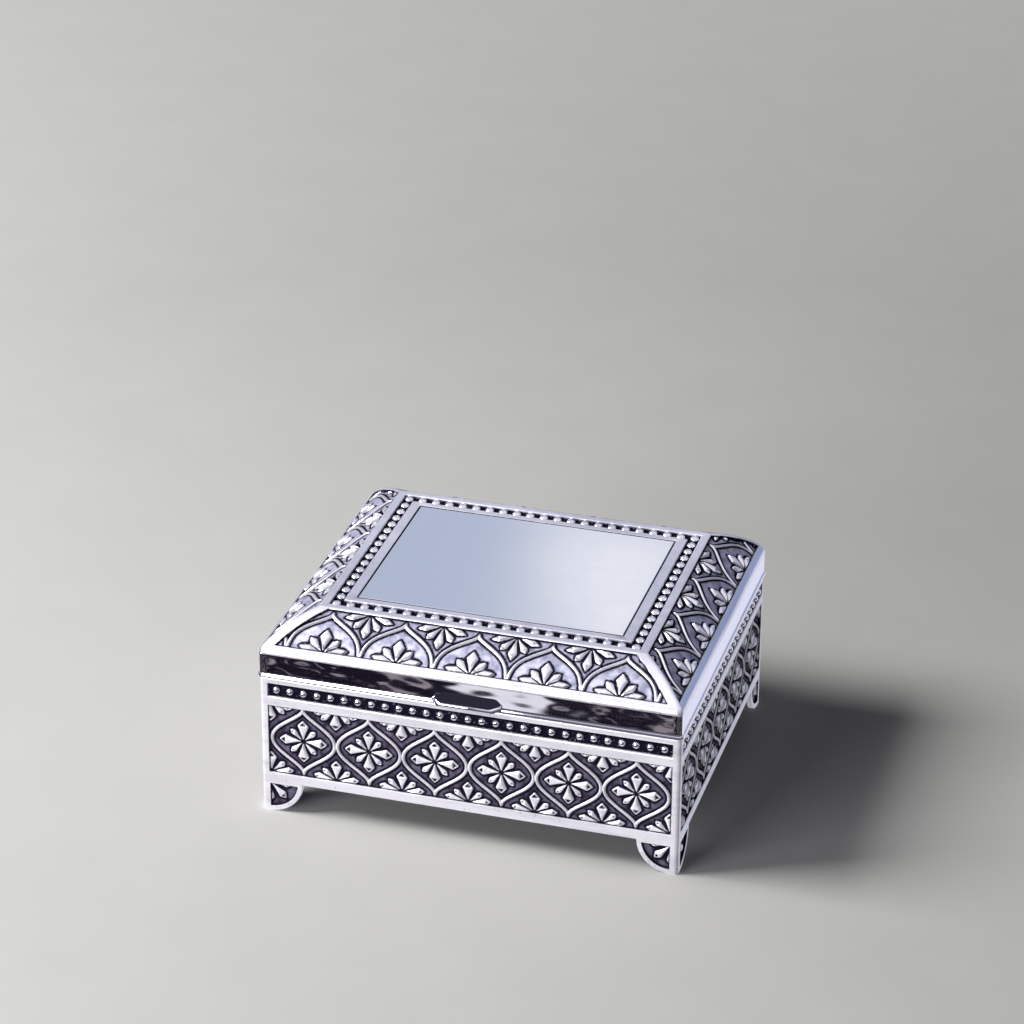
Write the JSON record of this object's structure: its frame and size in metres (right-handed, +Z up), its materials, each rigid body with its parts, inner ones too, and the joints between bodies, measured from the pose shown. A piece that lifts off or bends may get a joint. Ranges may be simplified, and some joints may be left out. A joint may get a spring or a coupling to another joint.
{
  "type": "hinged trinket box",
  "caption": "Small rectangular silver-plated trinket box with a hipped, hinged lid, ornamented walls, bracket feet and a velvet lining.",
  "frame": {"origin": "on the resting plane under the middle of the box, hinge barrel and thumb lift included", "axes": "+X to the box's right and along its length, -Y to its front (the thumb lift), +Z up"},
  "size_m": [0.1028, 0.0898, 0.0511],
  "materials": {
    "antiqued_silver": "silver plate, bright on the raised ornament and the plain borders, darkened in the recesses",
    "polished_silver": "polished silver plate with a fine satin",
    "hinge_silver": "silver-plated steel, satin",
    "velvet": "short-pile velvet",
    "underside_felt": "pressed felt",
    "card": "pulp board, hidden under the velvet"
  },
  "bodies": {
    "case": {"front_wall": "antiqued_silver", "right_wall": "antiqued_silver", "left_wall": "antiqued_silver", "back_wall": "antiqued_silver", "front_right_foot": "antiqued_silver", "back_right_foot": "antiqued_silver", "back_left_foot": "antiqued_silver", "front_left_foot": "antiqued_silver", "front_liner": "velvet", "right_liner": "velvet", "back_liner": "velvet", "left_liner": "velvet", "floor_plate": "polished_silver", "underside_felt": "underside_felt", "base_card": "card", "base_pad": "velvet", "case_hinge_leaf": "hinge_silver", "hinge_pin": "hinge_silver", "case_hinge_rivets": "hinge_silver"},
    "lid": {"lid_shell": "antiqued_silver", "engraving_plate": "polished_silver", "thumb_lift": "polished_silver", "lid_pad": "velvet", "lid_card": "card", "lid_hinge_leaf": "hinge_silver", "lid_hinge_rivets": "hinge_silver"}
  },
  "joints": [
    {"name": "lid_hinge", "type": "hinge", "parent": "case", "child": "lid", "pos_m": [0, 0.0436, 0.0363], "axis": [-1, 0, 0], "range_deg": [0, 105]}
  ]
}
